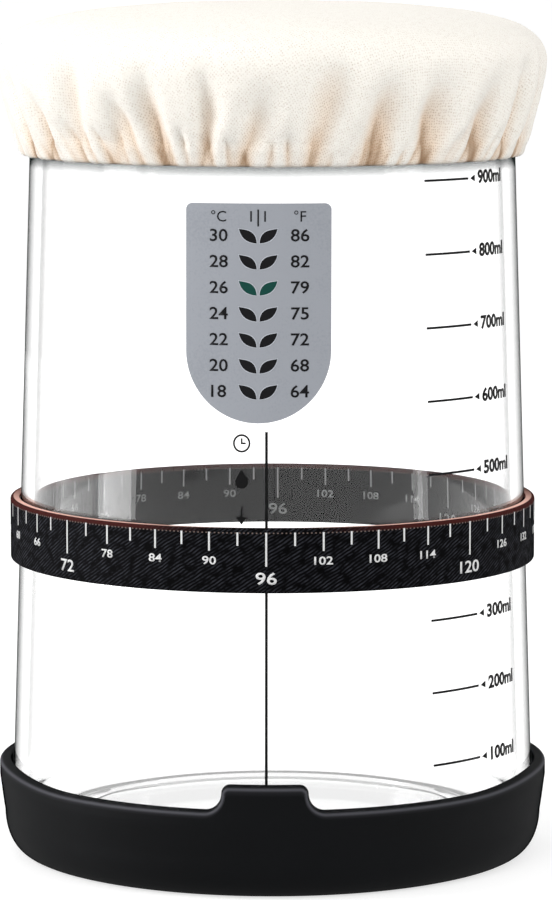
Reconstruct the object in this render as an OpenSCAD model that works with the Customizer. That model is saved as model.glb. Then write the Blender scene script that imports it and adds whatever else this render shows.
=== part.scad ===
// Sourdough starter jar. A tapered glass jar stands in a soft boot. A printed day band turns round
// its waist, a temperature strip is stuck to its front, and a screw lid with a seal closes its neck.
// A gathered cloth cover with an elastic in its hem goes over the lid.
// Millimetres. The boot stands on z = 0, Z is up and the front of the jar faces -Y.

/* [Jar] */
// Outer diameter of the glass at its foot, where the wall leaves the rounded heel
jar_foot_d = 105; // [102:0.5:108]
// Outer diameter of the glass at its top, where the wall turns in to the shoulder
jar_top_d = 96.7; // [95.5:0.1:99]
// Height of the tapered wall between those two places
jar_wall_h = 130.5; // [120:0.5:140]
// Thickness of the wall
glass_wall = 2.6; // [2.2:0.1:3]
// Thickness of the glass at the rim of the bottom
glass_floor = 5; // [4:0.5:7]
// Radius of the outer heel
heel_round = 7; // [6:0.5:8]
// Depth of the hollow under the bottom
push_up = 1.6; // [1:0.2:2.4]
// Radius of the outer shoulder
shoulder_round = 3.2; // [2.8:0.1:3.4]
// Height of the straight neck, from the shoulder's top to the rim
neck_h = 20.4; // [19:0.2:24]

/* [Boot] */
// Height of the boot's rim
boot_h = 17.4; // [15:0.5:21]
// Thickness of the boot's wall
boot_wall = 2.3; // [2:0.1:2.8]
// Thickness of the boot's floor, on which the jar stands
boot_floor = 2.2; // [1.6:0.1:3]
// Radius of the edge between the boot's side and its underside
boot_edge_round = 4.5; // [3.5:0.5:5]
// How much the boot narrows towards its underside
boot_draft = 1; // [0.5:0.1:1.4]
// Width of the raised tab at the front
tab_w = 16.6; // [12:0.2:20]
// Rise of the tab above the rim
tab_rise = 5; // [3:0.5:6]

/* [Day band] */
// Height of the band
band_h = 12.4; // [10:0.2:16]
// Height of the band's lower edge above the ground
band_z = 59.1; // [45:1:72]
// Thickness of the band at its lower edge
band_wall = 1.4; // [1.2:0.1:2]

/* [Temperature strip] */
// Width of the strip across the glass
strip_w = 27.4; // [22:0.2:32]
// Height of the strip, with its rounded lower end
strip_h = 41.6; // [36:0.2:46]
// Distance from the start of the shoulder down to the strip's upper edge
strip_drop = 7; // [5:0.5:9]
// Thickness of the strip
strip_sheet = 0.3; // [0.2:0.1:0.5]
// How far the strip was stuck on to the left of the front, in degrees
strip_turn = 1.85; // [0:0.05:4]

/* [Lid] */
// Height of the lid
lid_h = 17.9; // [16:0.1:18.5]
// Thickness of the lid's sheet
lid_sheet = 0.6; // [0.5:0.1:0.8]
// Radius of the lid's upper edge
lid_edge_round = 1.8; // [1.5:0.1:2.4]
// Thickness of the seal between the rim and the lid
seal_h = 1.2; // [1:0.1:1.6]

/* [Cloth cover] */
// Thickness of the cloth
cloth = 1.1; // [0.9:0.1:1.3]
// How far the hem's lower edge hangs below the start of the shoulder
hem_drop = 0; // [0:0.1:1]
// How far the cloth bulges past the hem
cover_bulge = 5.2; // [4:0.1:6]
// Height of the cloth's soft dome above the lid
cover_dome = 5.1; // [4:0.1:7]
// Number of large folds round the cover, an even number so that its two sides match
fold_count = 18; // [14:2:18]
// Depth of the large folds where they are deepest
fold_depth = 0.9; // [0.5:0.1:1.2]
// Height of the elastic in the hem
elastic_h = 5.2; // [4:0.2:5.6]
// Thickness of the elastic
elastic_sheet = 0.7; // [0.6:0.1:0.9]

/* [Hidden] */
// Full circles are exact in the built part. This number only sets how the preview draws them.
$fn = 96;
// Overlap of two shapes that are joined or cut
eps = 0.01;
// Gap between parts that slide or turn on each other
run_gap = 0.3;
// Gap between parts that rest on or are stuck to each other on curved faces
rest_gap = 0.02;

// The tapered glass wall, as a straight line in the half section
jar_foot_r = jar_foot_d / 2;
jar_top_r = jar_top_d / 2;
taper = (jar_foot_r - jar_top_r) / jar_wall_h;
taper_deg = atan(taper);
heel_z = boot_floor + heel_round * (1 + sin(taper_deg));
shoulder_z = heel_z + jar_wall_h;

// Outer radius of the tapered wall at height z
function glass_r(z) = jar_foot_r - taper * (z - heel_z);

// Inner radius of the tapered wall at height z
function cavity_r(z) = glass_r(z) - glass_wall / cos(taper_deg);

// Centre of a round of radius r, inside the slanted line through (x, z), that touches it there
function round_x(x, r) = x - r * cos(taper_deg);
function round_z(z, r) = z - r * sin(taper_deg);

// Shoulder and neck
shoulder_x = round_x(jar_top_r, shoulder_round);
shoulder_cz = round_z(shoulder_z, shoulder_round);
shoulder_top = shoulder_cz + shoulder_round;
neck_root_round = 0.8;
neck_r = shoulder_x - neck_root_round;
neck_wall = 2.5;
mouth_r = neck_r - neck_wall;
rim_z = shoulder_z + shoulder_round + neck_h;
rim_round = neck_wall / 2;

// Inside of the jar
cavity_floor = boot_floor + glass_floor;
cavity_heel_round = heel_round - 1;
cavity_heel_z = cavity_floor + cavity_heel_round;
cavity_heel_x = cavity_r(cavity_heel_z) - cavity_heel_round / cos(taper_deg);
cavity_top_drop = 1.6;
cavity_top_z = shoulder_z - cavity_top_drop;
mouth_root_round = 1;
cavity_shoulder_x = mouth_r + mouth_root_round;
cavity_shoulder_round = (cavity_r(cavity_top_z) - cavity_shoulder_x) / cos(taper_deg);
cavity_shoulder_cz = round_z(cavity_top_z, cavity_shoulder_round);
cavity_shoulder_top = cavity_shoulder_cz + cavity_shoulder_round;

// Ring on which the glass stands, and the hollow inside it
foot_ring_out = round_x(jar_foot_r, heel_round);
foot_ring_w = 3;
foot_ring_in = foot_ring_out - foot_ring_w;
hollow_slope_w = 4;

// Boot
boot_in_r = jar_foot_r + run_gap;
boot_out_r = boot_in_r + boot_wall;
boot_foot_r = boot_out_r - boot_draft;
boot_cavity_round = heel_round - run_gap;
boot_ledge_w = 12.8;
boot_hole_r = boot_in_r - boot_cavity_round - boot_ledge_w;
boot_side_top = boot_h - boot_wall / 2;
boot_rim_h = 3.1;
boot_draft_top = boot_h - boot_rim_h;
tab_corner = 1.8;
tab_flare = tab_rise - tab_corner;
tab_top = boot_h + tab_rise;

// Day band
band_top = band_z + band_h;
band_in_low = glass_r(band_z) + run_gap;
band_in_high = glass_r(band_top) + run_gap;
band_out_r = band_in_low + band_wall;
band_edge = 0.5;

// Temperature strip
strip_top = shoulder_z - strip_drop;
strip_bottom = strip_top - strip_h;
strip_corner = 1.2;

// Lid and its seal, both centred on the neck. The thread fills the room between neck and lid.
lid_under = rim_z + seal_h;
lid_top = lid_under + lid_sheet;
lid_bottom = lid_top - lid_h;
thread_room = 2;
lid_r = neck_r + thread_room;
lid_curl = 0.6;
lid_curl_z = lid_bottom + lid_curl;
lid_curl_out = 0.35;
lid_out_r = lid_r + lid_curl_out;
lid_panel_r = mouth_r - 3;
lid_panel_drop = 0.8;
seal_in = mouth_r - 1.6;
seal_out = lid_r - lid_edge_round - 0.1;

// Cloth cover, from the hem up. Its lip hangs over the shoulder of the glass. The elastic lies above
// the shoulder, and grips the neck under the lid.
hem_z = shoulder_z - hem_drop;
lip_in = glass_r(hem_z) + run_gap;
lip_sheet = 0.7;
lip_top = shoulder_cz + shoulder_round * 0.45;
hem_in = lid_out_r + run_gap + 0.05;
hem_lip_z = shoulder_top + run_gap;
elastic_z = hem_lip_z + run_gap;
elastic_in = hem_in;
elastic_out = elastic_in + elastic_sheet;
channel_r = elastic_out + 0.15;
channel_top = elastic_z + elastic_h + 0.4;
hem_out = lip_in + lip_sheet;
bulge_r = hem_out + cover_bulge;
bulge_drop = 5;
bulge_z = lid_top - bulge_drop;
lid_rest_z = lid_top + rest_gap;
dome_z = lid_rest_z + cover_dome;

// Half section of the cloth's outer face, from the top down: the soft crown, the edge over the lid,
// the turn above the bulge, the gathers below it, the tuck over the elastic and the flare of the hem
crown_r = bulge_r * 0.55;
crown_z = dome_z - cover_dome * 0.22;
edge_r = bulge_r * 0.87;
edge_z = lid_rest_z + cloth + 0.7;
turn_r = bulge_r - 1.4;
turn_z = bulge_z + 3.4;
gather_r = bulge_r - 1.3;
gather_z = bulge_z - 5.2;
tuck_r = bulge_r - 2.9;
tuck_z = channel_top - 0.6;
flare_r = hem_out + 0.8;
flare_z = hem_z + 2.6;
hem_gap = 0.03;

// Half section of a disc, for rounds in a profile that is turned about Z
module round_at(x, z, r) translate([x, z]) circle(r = r);

// Straight-edged ring section between two radii and two heights
module bar(x0, x1, z0, z1) translate([x0, z0]) square([x1 - x0, z1 - z0]);

// Boot section: a cup with a hole in its floor, a drafted side and a full round on its rim
module boot_section() {
    corner_x = boot_foot_r - boot_edge_round;
    difference() {
        union() {
            bar(boot_hole_r, corner_x, 0, boot_edge_round + eps);
            round_at(corner_x, boot_edge_round, boot_edge_round);
            polygon([[boot_hole_r, boot_edge_round], [boot_foot_r, boot_edge_round],
                     [boot_out_r, boot_draft_top], [boot_out_r, boot_side_top],
                     [boot_hole_r, boot_side_top]]);
        }
        boot_cavity_section(boot_h);
    }
    round_at(boot_in_r + boot_wall / 2, boot_side_top, boot_wall / 2);
}

// Room inside the boot: it follows the heel of the glass, up to the height top
module boot_cavity_section(top) {
    x = boot_in_r - boot_cavity_round;
    z = boot_floor + boot_cavity_round;
    bar(0, x, boot_floor, top);
    bar(0, boot_in_r, z, top);
    round_at(x, z, boot_cavity_round);
    bar(0, boot_hole_r, -1, top);
}

// Front outline of the tab: rounded upper corners, and flared feet that run out on the rim
module tab_outline() {
    half = tab_w / 2;
    foot_z = boot_h - boot_wall;
    difference() {
        translate([-half - tab_flare, foot_z])
            square([tab_w + 2 * tab_flare, boot_h - foot_z + tab_flare]);
        for (side = [-1, 1])
            translate([side * (half + tab_flare), boot_h + tab_flare]) circle(r = tab_flare);
    }
    translate([-half, foot_z]) square([tab_w, tab_top - tab_corner - foot_z]);
    translate([-half + tab_corner, foot_z]) square([tab_w - 2 * tab_corner, tab_top - foot_z]);
    for (side = [-1, 1])
        translate([side * (half - tab_corner), tab_top - tab_corner]) circle(r = tab_corner);
}

module boot() {
    tall_top = tab_top - boot_wall / 2;
    color("#2b2d31") union() {
        rotate_extrude() boot_section();
        intersection() {
            rotate_extrude() {
                bar(boot_in_r, boot_out_r, boot_draft_top, tall_top);
                round_at(boot_in_r + boot_wall / 2, tall_top, boot_wall / 2);
            }
            rotate([90, 0, 0]) linear_extrude(height = boot_out_r + 1) tab_outline();
        }
    }
}

// Outer half section of the glass: heel, slanted wall, shoulder and neck
module glass_outside() {
    heel_x = round_x(jar_foot_r, heel_round);
    heel_cz = round_z(heel_z, heel_round);
    polygon([[0, boot_floor], [heel_x, boot_floor], [heel_x, heel_cz], [jar_foot_r, heel_z],
             [jar_top_r, shoulder_z], [shoulder_x, shoulder_cz], [shoulder_x, shoulder_top],
             [0, shoulder_top]]);
    round_at(heel_x, heel_cz, heel_round);
    round_at(shoulder_x, shoulder_cz, shoulder_round);
    bar(0, neck_r, shoulder_top - eps, rim_z - rim_round);
    difference() {
        bar(0, neck_r + neck_root_round, shoulder_top - eps, shoulder_top + neck_root_round);
        round_at(neck_r + neck_root_round, shoulder_top + neck_root_round, neck_root_round);
    }
}

// Half section of the room inside the glass, open at the mouth
module glass_inside() {
    polygon([[0, cavity_floor], [cavity_heel_x, cavity_floor], [cavity_heel_x, cavity_heel_z],
             [cavity_r(cavity_heel_z), cavity_heel_z], [cavity_r(cavity_top_z), cavity_top_z],
             [cavity_shoulder_x, cavity_shoulder_cz], [cavity_shoulder_x, cavity_shoulder_top],
             [0, cavity_shoulder_top]]);
    round_at(cavity_heel_x, cavity_heel_z, cavity_heel_round);
    round_at(cavity_shoulder_x, cavity_shoulder_cz, cavity_shoulder_round);
    bar(0, mouth_r, cavity_shoulder_top - eps, rim_z + 1);
    difference() {
        bar(0, cavity_shoulder_x, cavity_shoulder_top - eps, cavity_shoulder_top + mouth_root_round);
        round_at(cavity_shoulder_x, cavity_shoulder_top + mouth_root_round, mouth_root_round);
    }
}

// Shallow hollow under the bottom, so that the glass stands on a ring
module glass_hollow() {
    polygon([[0, boot_floor - 1], [foot_ring_in, boot_floor - 1], [foot_ring_in, boot_floor],
             [foot_ring_in - hollow_slope_w, boot_floor + push_up], [0, boot_floor + push_up]]);
}

module glass_jar() {
    color("#dfe7ea", 0.35) rotate_extrude() {
        difference() {
            glass_outside();
            glass_inside();
            glass_hollow();
        }
        round_at(mouth_r + rim_round, rim_z - rim_round, rim_round);
    }
}

// The band's inner face follows the slant of the glass. Its two outer edges are rounded.
module day_band() {
    x = band_out_r - band_edge;
    color("#1d1e21") rotate_extrude() {
        polygon([[band_in_low, band_z], [x, band_z], [x, band_z + band_edge],
                 [band_out_r, band_z + band_edge], [band_out_r, band_top - band_edge],
                 [x, band_top - band_edge], [x, band_top], [band_in_high, band_top]]);
        round_at(x, band_z + band_edge, band_edge);
        round_at(x, band_top - band_edge, band_edge);
    }
}

// Front outline of the strip: small upper corners and a half round lower end
module strip_outline() {
    half = strip_w / 2;
    translate([-half, strip_bottom + half]) square([strip_w, strip_h - half - strip_corner]);
    translate([-half + strip_corner, strip_top - 2 * strip_corner])
        square([strip_w - 2 * strip_corner, 2 * strip_corner]);
    for (side = [-1, 1])
        translate([side * (half - strip_corner), strip_top - strip_corner]) circle(r = strip_corner);
    translate([0, strip_bottom + half]) circle(r = half);
}

module temperature_strip() {
    low = strip_bottom - 1;
    high = strip_top + 1;
    color("#a5aab6") rotate([0, 0, -strip_turn]) intersection() {
        rotate_extrude()
            polygon([[glass_r(low) + rest_gap, low], [glass_r(low) + rest_gap + strip_sheet, low],
                     [glass_r(high) + rest_gap + strip_sheet, high], [glass_r(high) + rest_gap, high]]);
        rotate([90, 0, 0]) linear_extrude(height = jar_foot_r + 2) strip_outline();
    }
}

// Flat ring that closes the joint between the rim and the lid
module lid_seal() {
    color("#e9e6df") rotate_extrude() bar(seal_in, seal_out, rim_z, lid_under);
}

// Lid of thin sheet: a sunk middle, a rounded upper edge, a straight skirt and a curled lower edge
module screw_lid() {
    inner_r = lid_r - lid_sheet;
    inner_round = lid_edge_round - lid_sheet;
    color("#b9bcc0") rotate_extrude() {
        difference() {
            union() {
                bar(0, lid_r, lid_curl_z, lid_top - lid_edge_round);
                bar(0, lid_r - lid_edge_round, lid_curl_z, lid_top);
                round_at(lid_r - lid_edge_round, lid_top - lid_edge_round, lid_edge_round);
            }
            difference() {
                union() {
                    bar(-1, inner_r, lid_curl_z - 1, lid_under - inner_round);
                    bar(-1, inner_r - inner_round, lid_curl_z - 1, lid_under);
                    round_at(inner_r - inner_round, lid_under - inner_round, inner_round);
                }
                bar(-2, lid_panel_r + lid_sheet, lid_under - lid_panel_drop, lid_top);
            }
            bar(-1, lid_panel_r, lid_top - lid_panel_drop, lid_top + 1);
        }
        round_at(lid_out_r - lid_curl, lid_curl_z, lid_curl);
    }
}

// Flat elastic that lies in the channel of the hem
module cover_elastic() {
    color("#f3efe6") rotate_extrude() bar(elastic_in, elastic_out, elastic_z, elastic_z + elastic_h);
}

// Points on a ring of the cloth. Each one is four to a large fold, so every fold has a crest, a
// valley and two flanks, and the folds are a little uneven all the way round.
fold_points = fold_count * 4;
function fold_wave(a) = cos(fold_count * a) * (0.75 + 0.25 * cos(4 * a + 30))
    + 0.3 * cos(2 * fold_count * a + 45) * cos(6 * a);
function cloth_ring(r, z, depth) =
    [for (i = [0 : fold_points - 1])
        let (a = i * 360 / fold_points, rr = r + depth * fold_wave(a))
        [rr * cos(a), rr * sin(a), z]];

// Rings of the cloth from the middle of the top, down the outside, round the hem and up the inside
function cloth_rings() = concat(
    cloth_ring(crown_r, crown_z, fold_depth * 0.1),
    cloth_ring(edge_r, edge_z, fold_depth * 0.25),
    cloth_ring(turn_r, turn_z, fold_depth * 0.45),
    cloth_ring(bulge_r - fold_depth * 0.5, bulge_z, fold_depth * 0.6),
    cloth_ring(gather_r, gather_z, fold_depth * 0.9),
    cloth_ring(tuck_r, tuck_z, fold_depth),
    cloth_ring(flare_r, flare_z, fold_depth * 0.5),
    cloth_ring(hem_out, hem_z, fold_depth * 0.15),
    cloth_ring(lip_in + hem_gap, hem_z, 0),
    cloth_ring(lip_in + hem_gap, lip_top, 0),
    cloth_ring(hem_in + hem_gap, hem_lip_z, 0),
    cloth_ring(channel_r, elastic_z, 0),
    cloth_ring(channel_r, channel_top, 0),
    cloth_ring(gather_r - cloth, gather_z, fold_depth * 0.8),
    cloth_ring(bulge_r - cloth - fold_depth * 0.5, bulge_z, fold_depth * 0.5),
    cloth_ring(lid_r + run_gap, lid_rest_z, 0),
    cloth_ring(crown_r, crown_z - cloth, fold_depth * 0.1));

// Joins ring k to ring k + 1 with two triangles at each point
function ring_faces(k) =
    [for (i = [0 : fold_points - 1], half = [0, 1])
        let (j = (i + 1) % fold_points, a = k * fold_points, b = (k + 1) * fold_points)
        half == 0 ? [a + i, b + i, b + j] : [a + i, b + j, a + j]];

module cover_cloth() {
    rings = cloth_rings();
    count = len(rings) / fold_points;
    top = len(rings);
    under = top + 1;
    last = (count - 1) * fold_points;
    faces = concat(
        [for (i = [0 : fold_points - 1]) [top, i, (i + 1) % fold_points]],
        [for (k = [0 : count - 2], f = ring_faces(k)) f],
        [for (i = [0 : fold_points - 1]) [last + i, under, last + (i + 1) % fold_points]]);
    color("#efe9dd")
        polyhedron(points = concat(rings, [[0, 0, dome_z], [0, 0, dome_z - cloth]]), faces = faces,
                   convexity = 6);
}

boot();
glass_jar();
day_band();
temperature_strip();
lid_seal();
screw_lid();
cover_cloth();
cover_elastic();
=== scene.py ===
"""Sourdough starter jar: glass jar, soft boot, day band, temperature strip, screw lid, cloth cover."""

import logging
import math
import random
from collections.abc import Callable, Iterable
from dataclasses import dataclass
from enum import Enum
from typing import Any

import bpy
import numpy as np
from mathutils import Matrix, Vector, noise


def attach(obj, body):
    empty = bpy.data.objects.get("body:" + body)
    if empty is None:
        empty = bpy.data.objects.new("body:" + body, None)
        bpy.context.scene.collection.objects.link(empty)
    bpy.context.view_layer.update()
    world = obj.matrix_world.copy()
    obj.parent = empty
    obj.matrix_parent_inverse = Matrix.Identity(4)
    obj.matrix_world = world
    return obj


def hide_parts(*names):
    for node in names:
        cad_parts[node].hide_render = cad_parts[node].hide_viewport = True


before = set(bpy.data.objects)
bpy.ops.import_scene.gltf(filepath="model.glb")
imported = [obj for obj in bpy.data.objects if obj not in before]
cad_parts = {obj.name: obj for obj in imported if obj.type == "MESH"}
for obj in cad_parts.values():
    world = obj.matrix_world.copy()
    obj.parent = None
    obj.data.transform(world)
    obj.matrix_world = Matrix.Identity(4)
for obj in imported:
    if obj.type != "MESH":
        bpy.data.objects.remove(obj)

LOG = logging.getLogger("starter_jar")
MM = 0.001
# Points nearer to each other than this many metres are one point.
MERGE = 1e-6
TURN = math.tau

Point = tuple[float, float]
Rule = Callable[[Vector], Vector]
Socket = bpy.types.NodeSocket
Term = float | Socket


class Body(Enum):
    """The moving bodies of the jar, by their names in the record."""

    BOOT = "boot"
    JAR = "jar"
    BAND = "band"
    LID = "lid"
    COVER = "cover"


class Slot(Enum):
    """The record's material slots."""

    BOOT = "boot_silicone"
    GLASS = "clear_glass"
    BAND = "band_silicone"
    FILM = "strip_film"
    LID = "lid_metal"
    COTTON = "cover_cotton"
    BRAID = "elastic_braid"


class Tick(Enum):
    """The three sizes of tick on the day band."""

    LONG = "long"
    MEDIUM = "medium"
    SMALL = "small"


# ---------------------------------------------------------------- mesh tools


def clear_selection() -> None:
    """Leaves edit mode and deselects everything."""
    if bpy.context.mode != "OBJECT":
        bpy.ops.object.mode_set(mode="OBJECT")
    bpy.ops.object.select_all(action="DESELECT")


def activate(piece: bpy.types.Object) -> None:
    """Makes piece the only selected and the active object."""
    clear_selection()
    piece.select_set(True)
    bpy.context.view_layer.objects.active = piece


def arc(centre: Point, radius: float, start: float, end: float, steps: int) -> list[Point]:
    """Points on an arc in the half section.

    Args:
        centre: Centre, as distance from the axis and height, in mm.
        radius: Radius in mm.
        start: First angle in degrees, from the outward direction.
        end: Last angle in degrees.
        steps: Number of pieces the arc is cut into.

    Returns:
        The points from start to end, both included.
    """
    angles = [math.radians(start + (end - start) * i / steps) for i in range(steps + 1)]
    return [(centre[0] + radius * math.cos(a), centre[1] + radius * math.sin(a)) for a in angles]


def line(start: Point, end: Point, steps: int) -> list[Point]:
    """Points on a straight line, without its first one, so that it follows an arc."""
    return [
        (start[0] + (end[0] - start[0]) * i / steps, start[1] + (end[1] - start[1]) * i / steps)
        for i in range(1, steps + 1)
    ]


def smooth(value: float, low: float, high: float) -> float:
    """Rises softly from 0 at low to 1 at high."""
    t = min(max((value - low) / (high - low), 0.0), 1.0)
    return t * t * (3 - 2 * t)


def draw_line(name: str, places: list[Vector]) -> bpy.types.Object:
    """Draws a chain of edges by extruding a point from place to place.

    Args:
        name: Name of the new piece.
        places: Places of the points in metres.

    Returns:
        The new piece, still in edit mode and with its last point selected.
    """
    clear_selection()
    bpy.ops.mesh.primitive_plane_add(size=0.01)
    piece = bpy.context.active_object
    piece.name = piece.data.name = name
    bpy.ops.object.mode_set(mode="EDIT")
    bpy.ops.mesh.select_all(action="SELECT")
    bpy.ops.mesh.merge(type="CENTER")
    bpy.ops.transform.translate(value=places[0])
    for last, place in zip(places, places[1:]):
        bpy.ops.mesh.extrude_region_move(TRANSFORM_OT_translate={"value": place - last})
    return piece


def lathe(name: str, section: list[Point], steps: int, sharp: float = 32) -> bpy.types.Object:
    """Turns a half section about the Z axis.

    Args:
        name: Name of the new piece.
        section: Points of the half section in mm. A closed section ends where it starts.
        steps: Number of columns round the piece.
        sharp: Edges that turn by more than this many degrees stay sharp.

    Returns:
        The turned piece, closed, with its faces outwards.
    """
    places = [Vector((r * MM, 0, z * MM)) for r, z in section]
    piece = draw_line(name, places)
    bpy.ops.mesh.select_all(action="SELECT")
    bpy.ops.mesh.spin(steps=steps, angle=TURN, center=(0, 0, 0), axis=(0, 0, 1))
    bpy.ops.mesh.select_all(action="SELECT")
    bpy.ops.mesh.remove_doubles(threshold=MERGE)
    bpy.ops.mesh.normals_make_consistent(inside=False)
    bpy.ops.object.mode_set(mode="OBJECT")
    shade(piece, sharp)
    return piece


def shade(piece: bpy.types.Object, sharp: float) -> None:
    """Shades piece smooth, apart from edges sharper than that many degrees."""
    activate(piece)
    bpy.ops.object.shade_smooth_by_angle(angle=math.radians(sharp))


def read_points(piece: bpy.types.Object) -> np.ndarray:
    """Returns the places of the piece's points as rows of three numbers, in metres."""
    places = np.zeros(len(piece.data.vertices) * 3)
    piece.data.vertices.foreach_get("co", places)
    return places.reshape(-1, 3)


def write_points(piece: bpy.types.Object, places: np.ndarray) -> None:
    """Puts the piece's points at these places."""
    piece.data.vertices.foreach_set("co", places.reshape(-1))
    piece.data.update()


def move_points(piece: bpy.types.Object, rule: Rule) -> None:
    """Moves each point of piece to where rule puts it."""
    for vertex in piece.data.vertices:
        vertex.co = rule(vertex.co)
    piece.data.update()


def thicken(piece: bpy.types.Object, thickness: float, offset: float) -> None:
    """Gives a sheet its thickness in mm with an applied Solidify modifier."""
    activate(piece)
    wall = piece.modifiers.new("wall", "SOLIDIFY")
    wall.thickness = thickness * MM
    wall.offset = offset
    bpy.ops.object.modifier_apply(modifier=wall.name)


def copy_piece(source: bpy.types.Object, offset: Vector) -> bpy.types.Object:
    """Copies a piece with its own mesh and shifts the copy's mesh by offset."""
    twin = source.copy()
    twin.data = source.data.copy()
    bpy.context.scene.collection.objects.link(twin)
    twin.data.transform(Matrix.Translation(offset))
    return twin


def join(name: str, parts: list[bpy.types.Object]) -> bpy.types.Object:
    """Joins parts into one piece of that name."""
    activate(parts[0])
    for part in parts:
        part.select_set(True)
    bpy.ops.object.join()
    parts[0].name = parts[0].data.name = name
    return parts[0]


def section_place(place: Vector) -> Point:
    """Returns a place's distance from the axis and its height, in mm."""
    return math.hypot(place.x, place.y) / MM, place.z / MM


def push_out(place: Vector, rise: float) -> Vector:
    """Returns a place moved away from the axis by that many mm."""
    scale = 1 + rise / section_place(place)[0]
    return Vector((place.x * scale, place.y * scale, place.z))


def from_front(radius: float, angle: float, z: float) -> Vector:
    """Returns the place at that angle, which counts from the front to the right."""
    return Vector((radius * math.sin(angle), -radius * math.cos(angle), z))


def fill_outline(name: str, outline: list[Point]) -> bpy.types.Object:
    """Returns a flat filled outline, which ends where it starts, still in edit mode."""
    piece = draw_line(name, [Vector((x * MM, y * MM, 0)) for x, y in outline])
    bpy.ops.mesh.select_all(action="SELECT")
    bpy.ops.mesh.remove_doubles(threshold=MERGE)
    bpy.ops.mesh.edge_face_add()
    return piece


def slice_up(left: float, width: float, count: int) -> None:
    """Cuts the flat piece in edit mode into that many columns, so that it can follow a curve."""
    for i in range(1, count):
        bpy.ops.mesh.select_all(action="SELECT")
        at = (left + width * i / count) * MM
        bpy.ops.mesh.bisect(plane_co=(at, 0, 0), plane_no=(1, 0, 0))


def face_up(piece: bpy.types.Object) -> None:
    """Leaves edit mode and turns the faces of the flat piece upwards."""
    bpy.ops.object.mode_set(mode="OBJECT")
    if piece.data.polygons[0].normal.z < 0:
        piece.data.flip_normals()


def hand_over(
    piece: bpy.types.Object,
    body: Body,
    material: bpy.types.Material,
    slot: Slot | None = None,
    stands_for: Iterable[str] = (),
) -> None:
    """Dresses a finished piece and fixes it to its body.

    Args:
        piece: The finished piece.
        body: Body that the piece moves with.
        material: Its finish.
        slot: Material slot of the record that the finish comes from; not used.
        stands_for: CAD nodes that the piece is shown in place of.
    """
    piece.data.materials.clear()
    piece.data.materials.append(material)
    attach(piece, body.value)
    if stands_for:
        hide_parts(*stands_for)
    LOG.info("%s: %d faces, on %s", piece.name, len(piece.data.polygons), body.value)


# ---------------------------------------------------------------- finishes


def linear(hex_colour: str) -> tuple[float, float, float, float]:
    """Turns an sRGB hex colour into a linear one with full alpha."""
    parts = [int(hex_colour[i : i + 2], 16) / 255 for i in (1, 3, 5)]
    red, green, blue = (c / 12.92 if c <= 0.04045 else ((c + 0.055) / 1.055) ** 2.4 for c in parts)
    return red, green, blue, 1.0


def add_node(
    tree: bpy.types.NodeTree, kind: str, inputs: dict[str | int, Any] | None = None, **options: Any
) -> bpy.types.Node:
    """Adds a node to a material.

    Args:
        tree: The material's node tree.
        kind: The node's type name, without its first word ShaderNode.
        inputs: Values, or sockets of other nodes, by the input that each goes to.
        **options: Values of the node's own properties.

    Returns:
        The new node.
    """
    node = tree.nodes.new("ShaderNode" + kind)
    for name, value in options.items():
        setattr(node, name, value)
    for key, value in (inputs or {}).items():
        if isinstance(value, bpy.types.NodeSocket):
            tree.links.new(value, node.inputs[key])
        else:
            node.inputs[key].default_value = value
    return node


def reckon(tree: bpy.types.NodeTree, operation: str, *terms: Term, clamp: bool = False) -> Socket:
    """Returns what a Math node makes of its terms, which are numbers or sockets."""
    inputs = dict(enumerate(terms))
    return add_node(tree, "Math", inputs, operation=operation, use_clamp=clamp).outputs[0]


def remap(
    tree: bpy.types.NodeTree,
    value: Socket,
    start: float,
    end: float,
    low: float = 0.0,
    high: float = 1.0,
) -> Socket:
    """Returns low where value is at start, high where it is at end, and a straight rise between."""
    inputs = {"Value": value, "From Min": start, "From Max": end, "To Min": low, "To Max": high}
    return add_node(tree, "MapRange", inputs).outputs["Result"]


def blend(tree: bpy.types.NodeTree, share: Socket, first: str | Socket, second: str | Socket) -> Socket:
    """Returns the mix of two colours, each a hex colour or a socket, with that share of the second."""
    first, second = (linear(side) if isinstance(side, str) else side for side in (first, second))
    return add_node(tree, "Mix", {0: share, 6: first, 7: second}, data_type="RGBA").outputs[2]


def spots(tree: bpy.types.NodeTree, place: Socket, size: float, detail: float = 2.0) -> Socket:
    """Returns noise whose spots are about that many mm across."""
    inputs = {"Vector": place, "Scale": 1 / (size * MM), "Detail": detail}
    return add_node(tree, "TexNoise", inputs).outputs["Fac"]


def relief(tree: bpy.types.NodeTree, height: Socket, strength: float, depth: float) -> Socket:
    """Returns the normal of a fine relief that is that many mm deep."""
    inputs = {"Height": height, "Strength": strength, "Distance": depth * MM}
    return add_node(tree, "Bump", inputs).outputs["Normal"]


def place_on(tree: bpy.types.NodeTree) -> Socket:
    """Returns the place on the object, in metres."""
    return add_node(tree, "TexCoord").outputs["Object"]


def seen_along(tree: bpy.types.NodeTree) -> Socket:
    """Returns 0 where a surface is seen straight on and 1 where it is seen along itself."""
    return add_node(tree, "LayerWeight", {"Blend": 0.5}).outputs["Facing"]


def soft_gloss(tree: bpy.types.NodeTree, level: float) -> Socket:
    """Returns a rubber's gloss, which dies away where its grit is seen at a flat angle."""
    return remap(tree, seen_along(tree), 0.35, 0.9, level, 0.0)


def new_material(name: str) -> tuple[bpy.types.Material, bpy.types.NodeTree]:
    """Returns an empty material and its node tree."""
    material = bpy.data.materials.new(name)
    material.use_nodes = True
    material.node_tree.nodes.clear()
    return material, material.node_tree


def close_material(tree: bpy.types.NodeTree, shader: Socket | dict[str, Any]) -> None:
    """Joins a shader, or a Principled one with those inputs, to the material's surface output."""
    if isinstance(shader, dict):
        shader = add_node(tree, "BsdfPrincipled", shader).outputs[0]
    add_node(tree, "OutputMaterial", {"Surface": shader})


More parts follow.
